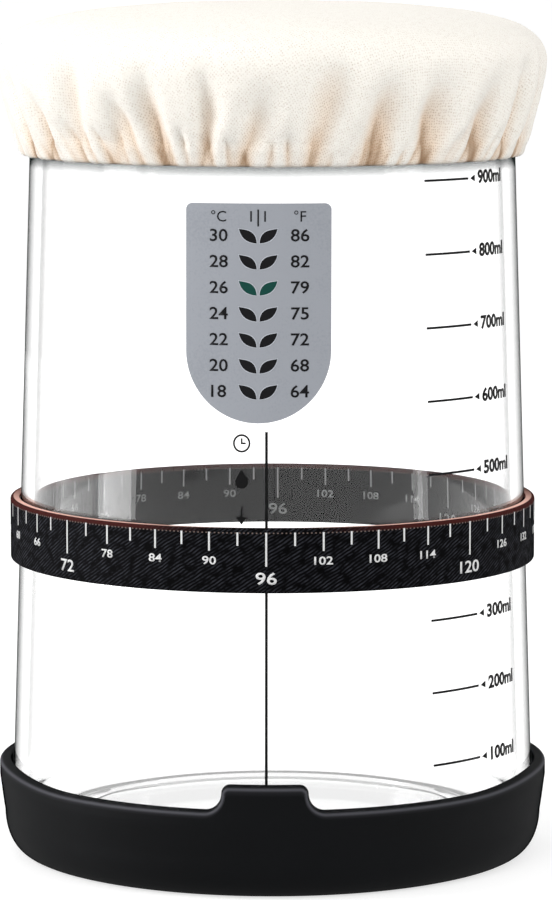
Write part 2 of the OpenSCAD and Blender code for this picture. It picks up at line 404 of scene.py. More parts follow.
@dataclass(frozen=True)
class PressedGlass:
    """Soda-lime glass, pressed and fire polished: clear and bright, with grey edges where it is seen
    along its wall, and a painted shadow of the cloth's hem on its shoulder."""

    name: str = "soda_lime_glass"
    clear: str = "#ffffff"
    edge: str = "#616866"
    shadow: str = "#f2f5f4"
    ior: float = 1.5
    reflection: float = 0.3
    along: Point = (0.74, 0.93)
    most_grey: float = 0.9
    # How grey the painted shadow of the hem makes the glass between shoulder_z and neck_z
    shoulder_grey: float = 0.7
    boot_z: Point = (16.5, 19.5)
    shoulder_z: Point = (137.4, 140.2)
    neck_z: Point = (142.0, 140.6)

    def material(self) -> bpy.types.Material:
        """Returns the glass material."""
        material, tree = new_material(self.name)
        rim = remap(tree, seen_along(tree), *self.along, 0.0, self.most_grey)
        height = add_node(tree, "SeparateXYZ", {0: place_on(tree)}).outputs["Z"]
        # The heel in the boot gets its light from all round and stays clear; the shoulder under the hem
        # gets a little painted grey, the painted shadow of the cloth's hem, and the neck is clear
        # again.
        above, under, below = (
            remap(tree, height, low * MM, high * MM)
            for low, high in (self.boot_z, self.shoulder_z, self.neck_z)
        )
        shoulder = reckon(tree, "MULTIPLY", under, below)
        walled_rim = reckon(tree, "MULTIPLY", rim, above)
        greyed = reckon(tree, "MULTIPLY_ADD", shoulder, self.shoulder_grey, walled_rim, clamp=True)
        inputs = {
            "Base Color": linear(self.clear),
            "Roughness": 0.0,
            "IOR": self.ior,
            "Transmission Weight": 1.0,
            "Specular Tint": (self.reflection,) * 3 + (1.0,),
        }
        glass = add_node(tree, "BsdfPrincipled", inputs).outputs[0]
        # Seen along its wall, the glass shows no more of the room behind it, only its own grey.
        grey = add_node(tree, "BsdfTransparent", {"Color": linear(self.edge)}).outputs[0]
        walled = add_node(tree, "MixShader", {0: greyed, 1: glass, 2: grey}).outputs[0]
        # Clear glass hardly dims the light that falls through it, so its shadow is let through.
        passing = add_node(tree, "BsdfTransparent", {"Color": linear(self.shadow)}).outputs[0]
        in_shadow = add_node(tree, "LightPath").outputs["Is Shadow Ray"]
        both = add_node(tree, "MixShader", {0: in_shadow, 1: walled, 2: passing})
        close_material(tree, both.outputs[0])
        return material


@dataclass(frozen=True)
class MouldedSilicone:
    """Silicone rubber, moulded in a blasted mould: a soft matte black with a faint broad shine and a
    fine even grit, dustier in patches, with a painted highlight along the edge of its rim."""

    name: str = "moulded_silicone"
    colour: str = "#0a0b0c"
    # Colour of the dustier patches
    worn: str = "#101113"
    # Colour of the painted highlight along the rim's outer edge, where the rounded edge would catch the
    # light
    edge: str = "#4a4a4f"
    ior: float = 1.43
    roughness: Point = (0.46, 0.58)
    specular: float = 0.07
    patch: float = 18
    grit: float = 0.35
    grit_depth: float = 0.03

    def material(self) -> bpy.types.Material:
        """Returns the boot's material."""
        material, tree = new_material(self.name)
        place = place_on(tree)
        dust = spots(tree, place, self.patch, 3.0)
        # The rim attribute places the painted highlight along the edge of the rim.
        rim = add_node(tree, "Attribute", attribute_name="rim").outputs["Fac"]
        shader = {
            "Base Color": blend(tree, rim, blend(tree, dust, self.colour, self.worn), self.edge),
            "IOR": self.ior,
            "Specular IOR Level": soft_gloss(tree, self.specular),
            "Roughness": remap(tree, dust, 0.0, 1.0, *self.roughness),
            "Normal": relief(tree, spots(tree, place, self.grit, 1.0), 0.25, self.grit_depth),
        }
        close_material(tree, shader)
        return material


@dataclass(frozen=True)
class GrainedStrap:
    """Silicone strap, moulded with a slanting leather grain: satin black with a painted sheen in short
    strokes on the grain's ridges, with a reddish brown upper edge that is black again at the front, a
    painted highlight along its top on both sides of the front, and a row of tiny stitches under the
    edge."""

    name: str = "grained_silicone"
    colour: str = "#060607"
    # Colour of the painted sheen on the grain's ridges, as if they caught the light
    ridge: str = "#303137"
    core: str = "#3e1c1a"
    # Colour of the painted highlight along the top of the upper edge
    worn: str = "#f6c4b6"
    thread: str = "#756660"
    ior: float = 1.43
    roughness: Point = (0.62, 0.42)
    specular: float = 0.022
    slant: float = 33
    grain: float = 0.6
    stroke: float = 1.6
    unroll_r: float = 52
    outer_r: Point = (51.7, 51.95)
    worn_r: Point = (52.1, 51.9)
    core_z: Point = (70.65, 70.85)
    worn_z: Point = (71.26, 71.42)
    core_y: Point = (-51.6, -46)
    worn_y: Point = (10, -15)
    stitch_z: float = 70.68
    stitch_half: float = 0.12
    stitches: int = 410

    def grained(self, tree: bpy.types.NodeTree, flat: Socket) -> Socket:
        """Returns the grain: fine ridges that run up to the right, wander and break off."""
        turned = {"Vector": flat, "Rotation": (0, 0, math.radians(self.slant))}
        slant = add_node(tree, "Mapping", turned).outputs[0]
        wave = {
            "Vector": slant,
            "Scale": TURN / 20 / (self.grain * MM),
            "Distortion": 3.5,
            "Detail": 2.0,
            "Detail Scale": 0.6,
        }
        ridges = add_node(tree, "TexWave", wave, bands_direction="Y").outputs["Fac"]
        crests = remap(tree, ridges, 0.35, 0.9)
        strokes = remap(tree, spots(tree, slant, self.stroke), 0.36, 0.66)
        return reckon(tree, "MULTIPLY", crests, strokes)

    def material(self) -> bpy.types.Material:
        """Returns the band's material."""
        material, tree = new_material(self.name)
        place = place_on(tree)
        split = add_node(tree, "SeparateXYZ", {0: place}).outputs
        angle = reckon(tree, "ARCTAN2", split["X"], split["Y"])
        around = reckon(tree, "MULTIPLY", angle, self.unroll_r * MM)
        flat = add_node(tree, "CombineXYZ", {"X": around, "Y": split["Z"]}).outputs[0]
        level = add_node(tree, "VectorMath", {0: place, 1: (1, 1, 0)}, operation="MULTIPLY").outputs[0]
        radius = add_node(tree, "VectorMath", {0: level}, operation="LENGTH").outputs["Value"]
        # Each of these is 1 inside a part of the strap: the printed face, the upper edge, its top where
        # the painted highlight lies, the sides and back, the near half, and the part of the top that
        # lies on the glass.
        outer, edge, top, beside, near, inner = (
            remap(tree, value, start * MM, end * MM)
            for value, (start, end) in (
                (radius, self.outer_r),
                (split["Z"], self.core_z),
                (split["Z"], self.worn_z),
                (split["Y"], self.core_y),
                (split["Y"], self.worn_y),
                (radius, self.worn_r),
            )
        )
        grain = reckon(tree, "MULTIPLY", self.grained(tree, flat), outer)
        brown = reckon(tree, "MULTIPLY", beside, edge)
        painted_top_highlight = reckon(tree, "MULTIPLY", inner, top)
        # Painted highlight: a pale line along the top next to the glass, on both sides of the front,
        # where the edge would catch the light.
        pale = reckon(tree, "MULTIPLY", painted_top_highlight, reckon(tree, "MULTIPLY", beside, near))
        row = reckon(tree, "COMPARE", split["Z"], self.stitch_z * MM, self.stitch_half * MM)
        dash = reckon(tree, "SINE", reckon(tree, "MULTIPLY", angle, self.stitches))
        # The ridges get the painted sheen.
        colour = blend(tree, grain, self.colour, self.ridge)
        colour = blend(tree, brown, colour, self.core)
        colour = blend(tree, pale, colour, self.worn)
        colour = blend(tree, reckon(tree, "MULTIPLY", dash, row, clamp=True), colour, self.thread)
        shader = {
            "Base Color": colour,
            "IOR": self.ior,
            "Roughness": remap(tree, grain, 0.0, 1.0, *self.roughness),
            "Specular IOR Level": soft_gloss(tree, self.specular),
            "Normal": relief(tree, grain, 0.7, 0.1),
        }
        close_material(tree, shader)
        return material


@dataclass(frozen=True)
class ScreenInk:
    """Screen printing ink: a thin, nearly matte layer whose cover is a little uneven."""

    name: str
    colour: str
    thin: str
    spot: float = 0.5
    roughness: float = 0.5
    specular: float = 0.1

    def material(self) -> bpy.types.Material:
        """Returns the material."""
        material, tree = new_material(self.name)
        colour = blend(tree, spots(tree, place_on(tree), self.spot), self.colour, self.thin)
        look = {"Roughness": self.roughness, "Specular IOR Level": self.specular}
        close_material(tree, {"Base Color": colour, **look})
        return material


@dataclass(frozen=True)
class SealRubber(ScreenInk):
    """Food grade sealing rubber, cut from sheet: off white and matte, with a fine speckle."""

    name: str = "sealing_rubber"
    colour: str = "#dcd8ce"
    thin: str = "#c9c4b8"
    spot: float = 0.8
    roughness: float = 0.6
    specular: float = 0.3


@dataclass(frozen=True)
class CrystalFilm:
    """Polyester film over liquid crystal ink: a flat bluish grey with a fine metallic mottle."""

    name: str = "polyester_film"
    colour: str = "#8f939a"
    light: str = "#a2a5ac"
    mottle: float = 0.45
    cloud: float = 14
    roughness: float = 0.42
    ior: float = 1.58
    specular: float = 0.2

    def material(self) -> bpy.types.Material:
        """Returns the strip's material."""
        material, tree = new_material(self.name)
        place = place_on(tree)
        mottle, cloud = spots(tree, place, self.mottle, 3.0), spots(tree, place, self.cloud)
        share = remap(tree, reckon(tree, "ADD", mottle, cloud, clamp=True), 0.6, 1.4)
        shader = {
            "Base Color": blend(tree, share, self.colour, self.light),
            "Roughness": self.roughness,
            "IOR": self.ior,
            "Specular IOR Level": self.specular,
        }
        close_material(tree, shader)
        return material


@dataclass(frozen=True)
class TinnedSteel:
    """Tinned steel sheet, drawn and rolled: bright grey with a faint brushed direction."""

    name: str = "tinned_steel"
    colour: str = "#c3c6ca"
    brush: float = 4
    stretch: float = 12
    roughness: Point = (0.24, 0.4)

    def material(self) -> bpy.types.Material:
        """Returns the lid's material."""
        material, tree = new_material(self.name)
        scaled = {"Vector": place_on(tree), "Scale": (1, 1, self.stretch)}
        brush = spots(tree, add_node(tree, "Mapping", scaled).outputs[0], self.brush, 4.0)
        rough = remap(tree, brush, 0.0, 1.0, *self.roughness)
        close_material(tree, {"Base Color": linear(self.colour), "Metallic": 1.0, "Roughness": rough})
        return material


@dataclass(frozen=True)
class CottonMuslin:
    """Cotton muslin, unbleached and twill woven: cream threads that cross at a slant, nearly white
    where it is stretched, with painted shade deep in its folds, warm tan and dark brown in the deepest
    crevices."""

    name: str = "cotton_muslin"
    light: str = "#f9f5ed"
    # Colours of the painted shade in the folds and in their deepest crevices, and of the holes that
    # show in that shade
    fold: str = "#dfbf9e"
    crevice: str = "#5a3a22"
    gap: str = "#a07850"
    thread: float = 0.57
    slant: float = 38
    wander: float = 5
    slub: float = 1.3
    hole: Point = (0.38, 0.08)
    warm_from: Point = (0.05, 0.68)
    dark_from: Point = (0.42, 0.85)
    seam_half: float = 0.14
    weave_depth: float = 0.16

    def material(self, seam: float) -> bpy.types.Material:
        """Returns the cloth's material, with the hem's row of stitches at that way from the middle."""
        material, tree = new_material(self.name)
        flat = add_node(tree, "UVMap", uv_map="cut").outputs[0]
        cloud = {"Vector": flat, "Scale": 1 / (self.wander * MM), "Detail": 2.0}
        wander = add_node(tree, "TexNoise", cloud).outputs["Color"]
        bent = {0: wander, 1: (0.5 * MM,) * 3, 2: flat}
        shift = add_node(tree, "VectorMath", bent, operation="MULTIPLY_ADD").outputs[0]
        # The threads cross at a slant, and small uneven holes are left between them.
        turned = {"Vector": shift, "Rotation": (0, 0, math.radians(self.slant))}
        weave = {
            "Vector": add_node(tree, "Mapping", turned).outputs[0],
            "Scale": 1 / (self.thread * MM),
            "Randomness": 0.45,
        }
        cells = add_node(tree, "TexVoronoi", weave, voronoi_dimensions="2D").outputs["Distance"]
        opened = {"Value": cells, "From Min": self.hole[0], "From Max": self.hole[1]}
        hole = add_node(tree, "MapRange", opened, interpolation_type="SMOOTHSTEP").outputs["Result"]
        slub = spots(tree, flat, self.slub, 3.0)
        threads = reckon(tree, "MULTIPLY_ADD", hole, -1.0, slub)
        # The valley attribute sets where the painted shade of the folds lies.
        deep = add_node(tree, "Attribute", attribute_name="valley").outputs["Fac"]
        fold_shade, dark = (remap(tree, deep, *ends) for ends in (self.warm_from, self.dark_from))
        colour = blend(tree, fold_shade, self.light, self.fold)
        colour = blend(tree, dark, colour, self.crevice)
        # The holes are painted where the painted shade of the folds lies and hardly where the cloth is
        # stretched.
        uneven = remap(tree, slub, 0.3, 0.7, -0.05, 0.4)
        holes = reckon(tree, "MULTIPLY_ADD", fold_shade, 0.6, uneven, clamp=True)
        colour = blend(tree, reckon(tree, "MULTIPLY", holes, hole), colour, self.gap)
        way = add_node(tree, "VectorMath", {0: flat}, operation="LENGTH").outputs["Value"]
        row = reckon(tree, "COMPARE", way, seam, self.seam_half * MM)
        raised = reckon(tree, "MULTIPLY_ADD", row, -1.5, threads)
        shader = {
            "Base Color": colour,
            "Normal": relief(tree, raised, 0.5, self.weave_depth),
            "Roughness": 0.9,
            "Specular IOR Level": 0.15,
            "Sheen Weight": 0.15,
            "Sheen Roughness": 0.5,
        }
        close_material(tree, shader)
        return material


@dataclass(frozen=True)
class BraidedElastic:
    """Braided elastic of rubber and polyester: white, with small ribs across it."""

    name: str = "braided_elastic"
    colour: str = "#efece4"
    groove: str = "#c9c4b8"
    rib: float = 0.8
    rib_depth: float = 0.15

    def material(self) -> bpy.types.Material:
        """Returns the elastic's material."""
        material, tree = new_material(self.name)
        height = add_node(tree, "SeparateXYZ", {0: place_on(tree)}).outputs["Z"]
        wave = reckon(tree, "SINE", reckon(tree, "MULTIPLY", height, TURN / (self.rib * MM)))
        shader = {
            # The grooves between the ribs are painted darker: painted shade.
            "Base Color": blend(tree, remap(tree, wave, -1.0, 1.0), self.groove, self.colour),
            "Normal": relief(tree, wave, 0.5, self.rib_depth),
            "Roughness": 0.8,
            "Specular IOR Level": 0.2,
        }
        close_material(tree, shader)
        return material


# ---------------------------------------------------------------- the pieces


@dataclass
class GlassForm:
    """The sizes of the glass in mm, shared by what sits on it."""

    foot_r: float = 52.5
    heel_z: float = 9.4225
    taper: float = 0.0318008
    wall: float = 2.6013
    shoulder_z: float = 139.9225
    shoulder: Point = (45.1516, 139.8208)
    shoulder_round: float = 3.2
    neck_r: float = 44.3516
    mouth_r: float = 41.8516
    rim_z: float = 163.5225
    floor_z: float = 2.2
    cavity_z: float = 7.2
    push_up: float = 3.8
    heel_round: float = 7.0
    cavity_round: float = 6.0
    root_round: float = 0.8
    rim_round: float = 1.25

    @property
    def slant(self) -> float:
        """The wall's lean in degrees."""
        return math.degrees(math.atan(self.taper))

    def radius(self, z: float) -> float:
        """Outer radius of the tapered wall at height z."""
        return self.foot_r - self.taper * (z - self.heel_z)

    def outside(self) -> list[Point]:
        """Returns the outer half section, from the middle of the bottom to the root of the rim."""
        small, large = self.root_round, self.heel_round
        root = (self.neck_r + small, self.shoulder[1] + self.shoulder_round + small)
        heel = (self.foot_r - large * math.cos(math.radians(self.slant)), self.floor_z + large)
        wall = [(self.radius(z), z) for z in (self.heel_z, self.shoulder_z)]
        return (
            [(x, self.push_up) for x in (0, 20, 37.6)]
            + arc((38.2, 3.2), 0.6, 90, 22, 3)
            + [(42.1, 2.5)]
            + arc((42.9, 2.6), 0.4, 200, 270, 3)
            + arc(heel, large, -90, -self.slant, 20)
            + line(*wall, 16)
            + arc(self.shoulder, self.shoulder_round, -self.slant, 90, 14)[1:]
            + arc(root, small, 270, 180, 4)
            + line((self.neck_r, root[1]), (self.neck_r, self.rim_z - self.rim_round), 40)
        )

    def inside(self) -> list[Point]:
        """Returns the inner half section, from the rim to the middle of the cavity's floor."""
        corner, root = 1.8, 1.0
        lean = math.radians(self.slant)
        under = self.shoulder[1] + self.shoulder_round - corner
        turn_z = under - corner * (1 - math.sin(lean))
        inner = self.radius(turn_z) - self.wall
        corner_x = inner - corner * math.cos(lean)
        heel_z = self.cavity_z + self.cavity_round
        heel_x = self.radius(heel_z) - self.wall - self.cavity_round
        rim = (self.mouth_r + self.rim_round, self.rim_z - self.rim_round)
        return (
            arc(rim, self.rim_round, 0, 180, 12)[1:]
            + line((self.mouth_r, rim[1]), (self.mouth_r, under + root), 12)
            + arc((self.mouth_r + root, under + root), root, 180, 270, 5)[1:]
            + arc((corner_x, under - corner), corner, 90, -self.slant, 12)
            + line((inner, turn_z), (heel_x + self.cavity_round, heel_z), 16)
            + arc((heel_x, heel_z), self.cavity_round, -self.slant, -90, 16)
            + [(x, self.cavity_z) for x in (30, 15, 0)]
        )


@dataclass
class GlassJar:
    """The glass jar with the screw thread on its neck."""

    form: GlassForm
    finish: PressedGlass = PressedGlass()
    steps: int = 256
    thread_start: float = 150.5
    thread_pitch: float = 6.0
    thread_turns: float = 1.3
    thread_height: float = 0.95
    thread_half: float = 1.5
    thread_end: float = 0.06

    def thread(self, place: Vector) -> Vector:
        """Raises the screw thread out of the neck.

        Args:
            place: A point of the glass in metres.

        Returns:
            The point's new place.
        """
        r, z = section_place(place)
        # Only the neck's outside, between its root and its rim, carries the thread.
        if r < self.form.neck_r - 0.05 or not 144.5 < z < self.form.rim_z - 1.5:
            return place
        angle = math.atan2(place.y, place.x) % TURN / TURN
        rise = 0.0
        for lap in range(-1, 3):
            along = angle + lap
            if not 0 <= along <= self.thread_turns:
                continue
            ends = smooth(along, 0, self.thread_end)
            ends *= smooth(self.thread_turns - along, 0, self.thread_end)
            off = abs(z - self.thread_start - self.thread_pitch * along)
            bulge = smooth(self.thread_half - off, 0, self.thread_half)
            rise = max(rise, self.thread_height * ends * bulge)
        return push_out(place, rise)

    def build(self) -> None:
        """Turns the glass, raises its thread and dresses it."""
        glass = lathe("jar_glass", self.form.outside() + self.form.inside(), self.steps)
        move_points(glass, self.thread)
        hand_over(glass, Body.JAR, self.finish.material(), Slot.GLASS, ["glass_jar"])


@dataclass
class Boot:
    """The soft boot under the jar, with a raised tab at the front of its rim."""

    in_r: float = 52.8
    out_r: float = 55.1
    foot_r: float = 54.1
    height: float = 17.4
    edge: float = 4.5
    edge_rise: float = 8.0
    floor: float = 2.2
    hole_r: float = 33.3
    draft_top: float = 14.3
    cavity_round: float = 6.7
    outer_round: float = 0.6
    inner_round: float = 0.4
    side_rise: float = 1.2
    tab_half: float = 8.5
    tab_shift: float = -0.25
    tab_rise: float = 5.0
    tab_corner: float = 1.8
    beside_tab: float = 9
    # Width in mm of the painted highlight along the rim's edge
    rim_mark: float = 0.35
    steps: int = 720
    finish: MouldedSilicone = MouldedSilicone()

    @property
    def lip(self) -> float:
        """Height over which the rim keeps its own section, also over the tab."""
        return (self.out_r - self.in_r) / 2

    def section(self) -> list[Point]:
        """Returns the closed half section without the tab."""
        top = self.height - self.lip
        inner_z = self.height - self.inner_round
        cavity = self.cavity_round
        low = arc((0, 0), 1, -90, 0, 14)
        outer = arc((self.out_r - self.outer_round, top + 0.15), self.outer_round, 0, 72, 8)
        inner = arc((self.in_r + self.inner_round, inner_z), self.inner_round, 72, 180, 8)
        return (
            [(self.foot_r - self.edge * (1 - x), self.edge_rise * (1 + z)) for x, z in low]
            + line((self.foot_r, self.edge_rise), (self.out_r, self.draft_top), 6)
            + line((self.out_r, self.draft_top), (self.out_r, top), 4)
            + outer
            + line(outer[-1], inner[0], 5)
            + inner[1:]
            + line((self.in_r, inner_z), (self.in_r, top), 2)
            + line((self.in_r, top), (self.in_r, self.floor + cavity), 6)
            + arc((self.in_r - cavity, self.floor + cavity), cavity, 0, -90, 10)[1:]
            + [(self.hole_r + 0.5, self.floor), (self.hole_r, self.floor - 0.5)]
            + [(self.hole_r, 0.5), (self.hole_r + 0.5, 0), (self.foot_r - self.edge, 0)]
        )

    def rim_path(self) -> list[tuple[float, float, float, float]]:
        """Returns the rim's line over the tab, unrolled.

        Returns:
            Rows of the distance along the rim, the height above it, and the two parts of the
            direction that points away from the rubber, for even steps from left to right.
        """
        corner, half = self.tab_corner, self.tab_half
        flare = self.tab_rise - corner
        flat, end = half - corner, half + flare
        right: list[tuple[float, float, float, float]] = []
        for i in range(12):
            right.append((flat * i / 12, self.tab_rise, 0, 1))
        for i in range(16):
            angle = math.pi / 2 * (1 - i / 16)
            x, z = math.cos(angle), math.sin(angle)
            right.append((flat + corner * x, flare + corner * z, x, z))
        for i in range(20):
            angle = math.pi + math.pi / 2 * i / 20
            x, z = math.cos(angle), math.sin(angle)
            right.append((end + flare * x, flare + flare * z, -x, -z))
        for i in range(13):
            right.append((end + self.beside_tab * i / 12, 0, 0, 1))
        left = [(-x, z, -nx, nz) for x, z, nx, nz in reversed(right[1:])]
        return [(x + self.tab_shift, z, nx, nz) for x, z, nx, nz in left + right]

    def raise_tab(self, boot: bpy.types.Object) -> None:
        """Moves the columns at the front so that the rim rises over the tab with its own rounds."""
        path = self.rim_path()
        middle = self.in_r + self.lip
        count = len(path) - 1
        reach = path[-1][0] / middle
        low = self.floor + self.cavity_round
        rim = self.height - self.lip
        step = TURN / self.steps
        spread = math.ceil(reach / step) * step

        def rule(place: Vector) -> Vector:
            angle = math.atan2(place.x, -place.y)
            r, z = section_place(place)
            if abs(angle) > spread + 1e-6 or z < low - 1e-3:
                return place
            share = (angle + spread) / (2 * spread) * count
            i = min(max(int(share), 0), count - 1)
            t = share - i
            x, up, nx, nz = ((1 - t) * a + t * b for a, b in zip(path[i], path[i + 1]))
            size = math.hypot(nx, nz)
            nx, nz = nx / size, nz / size
            back = self.lip - max(z - rim, 0.0)
            rim_x, rim_z = x - nx * back, self.height + up - nz * back
            base_x = angle * middle
            if z >= rim - 1e-3:
                new_x, new_z = rim_x, rim_z
            else:
                t = (z - low) / (rim - low)
                start_x, start_z = x - nx * self.lip, self.height + up - nz * self.lip
                new_x, new_z = base_x + (start_x - base_x) * t, low + (start_z - low) * t
                if r > middle:
                    lean = (self.out_r - self.foot_r) / (self.draft_top - self.edge_rise)
                    r = self.out_r - lean * max(self.draft_top - new_z, 0.0)
            turn = new_x / middle
            return from_front(r, turn, new_z) * MM

        def dip(place: Vector) -> Vector:
            # The rim stands higher at the sides and the back than at the front.
            away = abs(math.atan2(place.x, -place.y))
            share = smooth(place.z / MM, low, rim) * smooth(away, 0.8, 1.35)
            return place + Vector((0, 0, self.side_rise * share * MM))

        move_points(boot, rule)
        move_points(boot, dip)

    def build(self) -> None:
        """Turns the boot, raises its tab and dresses it."""
        boot = lathe("boot_rubber", self.section(), self.steps, 50)
        # The painted highlight along the edge between the rim's wall and its top is marked before the
        # tab is raised, so that it follows the tab's outline.
        places = read_points(boot) / MM
        outwards = np.hypot(places[:, 0], places[:, 1]) - self.out_r + 0.2
        share = np.exp(-((np.hypot(outwards, places[:, 2] - 16.7) / self.rim_mark) ** 2))
        mark = boot.data.attributes.new("rim", "FLOAT", "POINT")
        mark.data.foreach_set("value", share.astype(np.float32))
        self.raise_tab(boot)
        # The far side of the boot would show through the glass as a dark arch that the photograph
        # doesn't have, so it is left out of what is seen through glass.
        boot.visible_transmission = False
        hand_over(boot, Body.BOOT, self.finish.material(), Slot.BOOT, ["boot"])


# Height of the capitals in Blender's own font, as a share of its size
CAPITALS = 0.691
# How far in mm a print floats over what it is printed on, so that the two never fight
LIFT = 0.01


class FlatPrint:
    """Printed shapes that are laid out flat, x to the right and y up in mm, and then wrapped on."""

    def __init__(self, name: str, ink: float = 0.03) -> None:
        """Starts an empty print with that thickness of ink."""
        self.name = name
        self.ink = ink
        self.parts: list[bpy.types.Object] = []
        self.stock: dict[str, bpy.types.Object] = {}

    def bar(self, x: float, y: float, width: float, height: float, columns: int = 1) -> None:
        """Adds a straight bar about a middle point, cut into columns for a curved surface."""
        clear_selection()
        bpy.ops.mesh.primitive_plane_add(size=1, location=(0, 0, 0))
        piece = bpy.context.active_object
        bpy.ops.object.mode_set(mode="EDIT")
        bpy.ops.mesh.select_all(action="SELECT")
        bpy.ops.transform.resize(value=(width * MM, height * MM, 1))
        bpy.ops.transform.translate(value=(x * MM, y * MM, 0))
        slice_up(x - width / 2, width, columns)
        bpy.ops.object.mode_set(mode="OBJECT")
        self.parts.append(piece)

    def copies(self, name: str, x: float, y: float, width: float, height: float) -> None:
        """Adds a copy of a bar that is modelled once under that name."""
        if name not in self.stock:
            self.bar(0, 0, width, height)
            self.stock[name] = self.parts.pop()
        self.parts.append(copy_piece(self.stock[name], Vector((x, y, 0)) * MM))

    def shape(self, points: list[Point], mirrored: bool = False) -> None:
        """Adds a filled outline."""
        side = -1 if mirrored else 1
        piece = fill_outline(self.name, [(side * x, y) for x, y in points])
        bpy.ops.mesh.normals_make_consistent(inside=False)
        face_up(piece)
        self.parts.append(piece)

    def words(
        self, text: str, x: float, y: float, cap: float, weight: float = 0.0, wide: float = 1.0
    ) -> None:
        """Adds figures or a unit, centred on x and y.

        Args:
            text: What is written.
            x: Middle of the writing.
            y: Middle of its capitals' height.
            cap: Height of its capitals in mm.
            weight: How much its strokes are thickened, in shares of its size.
            wide: Stretch across.
        """
        clear_selection()
        bpy.ops.object.text_add()
        piece = bpy.context.active_object
        piece.data.body = text
        piece.data.size = cap / CAPITALS * MM
        piece.data.offset = weight * piece.data.size
        piece.data.resolution_u = 3
        bpy.ops.object.convert(target="MESH")
        piece = bpy.context.active_object
        xs = [v.co.x for v in piece.data.vertices]
        middle = (min(xs) + max(xs)) / 2
        low = cap / 2 * MM
        move_points(piece, lambda v: Vector(((v.x - middle) * wide + x * MM, v.y - low + y * MM, 0)))
        self.parts.append(piece)

    def wrap(self, rule: Rule) -> bpy.types.Object:
        """Joins the print, wraps it with rule and gives the ink its thickness.

        Args:
            rule: Turns a flat place in metres into its place on the object.

        Returns:
            The finished print.
        """
        for piece in self.stock.values():
            bpy.data.objects.remove(piece)
        self.stock.clear()
        piece = join(self.name, self.parts)
        move_points(piece, rule)
        thicken(piece, self.ink, 1)
        return piece


def on_outside(form: GlassForm, lift: float) -> Rule:
    """Returns the rule that wraps x, as an arc at the foot's radius, onto the outside of the glass."""

    def rule(place: Vector) -> Vector:
        r = (form.radius(place.y / MM) + lift) * MM
        return from_front(r, place.x / (form.foot_r * MM), place.y)

    return rule


@dataclass
class GlassPrint:
    """The printing on the glass: index line, volume marks and a small time mark."""

    form: GlassForm
    first_z: float = 23.9
    pitch: float = 14.09
    marks: int = 9
    mark_w: float = 0.46
    mark_from: float = 38.0
    mark_to: float = 52.4
    tip_at: float = 53.1
    figures_at: float = 62.0
    index_bottom: float = 19.0
    index_top: float = 89.7
    index_w: float = 0.55
    picture_at: float = -5.4
    picture_pitch: float = 6.9
    finish: ScreenInk = ScreenInk("black_glass_ink", "#070708", "#0e0e0f")

    def across(self, degrees: float) -> float:
        """Distance along the foot's circle for an angle from the front."""
        return math.radians(degrees) * self.form.foot_r

    def time_marks(self, prints: FlatPrint, x: float) -> None:
        """Adds three small pictures under each other: a clock, a drop and an arrow to the band."""
        y = self.index_top - 2.2
        angles = np.linspace(0, TURN, 41)
        ring, hole = (
            [(x + radius * math.cos(a), y + radius * math.sin(a)) for a in angles]
            for radius in (1.75, 1.38)
        )
        for i in range(40):
            prints.shape([ring[i], ring[i + 1], hole[i + 1], hole[i], ring[i]])
        prints.bar(x, y + 0.42, 0.34, 1.1)
        prints.bar(x + 0.35, y, 0.95, 0.34)
        y -= self.picture_pitch
        drop = arc((x, y - 0.45), 1.3, 155, 385, 22)
        prints.shape([*drop, (x + 0.62, y + 0.95), (x, y + 1.95), (x - 0.62, y + 0.95), drop[0]])
        y -= self.picture_pitch
        prints.bar(x, y + 0.7, 0.42, 2.2)
        prints.shape([(x, y - 1.7), (x + 1.15, y - 0.2), (x - 1.15, y - 0.2), (x, y - 1.7)])

    def build(self) -> None:
        """Prints the marks and fixes them to the jar."""
        prints = FlatPrint("glass_marks")
        top, bottom = self.index_top, self.index_bottom
        prints.bar(0, (top + bottom) / 2, self.index_w, top - bottom)
        for n in range(self.marks):
            z = self.first_z + self.pitch * n
            start, end, tip = map(self.across, (self.mark_from, self.mark_to, self.tip_at))
            prints.bar((start + end) / 2, z, end - start, self.mark_w, 12)
            prints.shape([(tip, z), (tip + 1.7, z - 0.68), (tip + 1.7, z + 0.68), (tip, z)])
            figures = self.across(self.figures_at)
            prints.words(f"{(n + 1) * 100}ml", figures, z + 0.2, 2.4, 0.038, 1.26)
        self.time_marks(prints, self.across(self.picture_at))
        marks = prints.wrap(on_outside(self.form, LIFT))
        hand_over(marks, Body.JAR, self.finish.material())


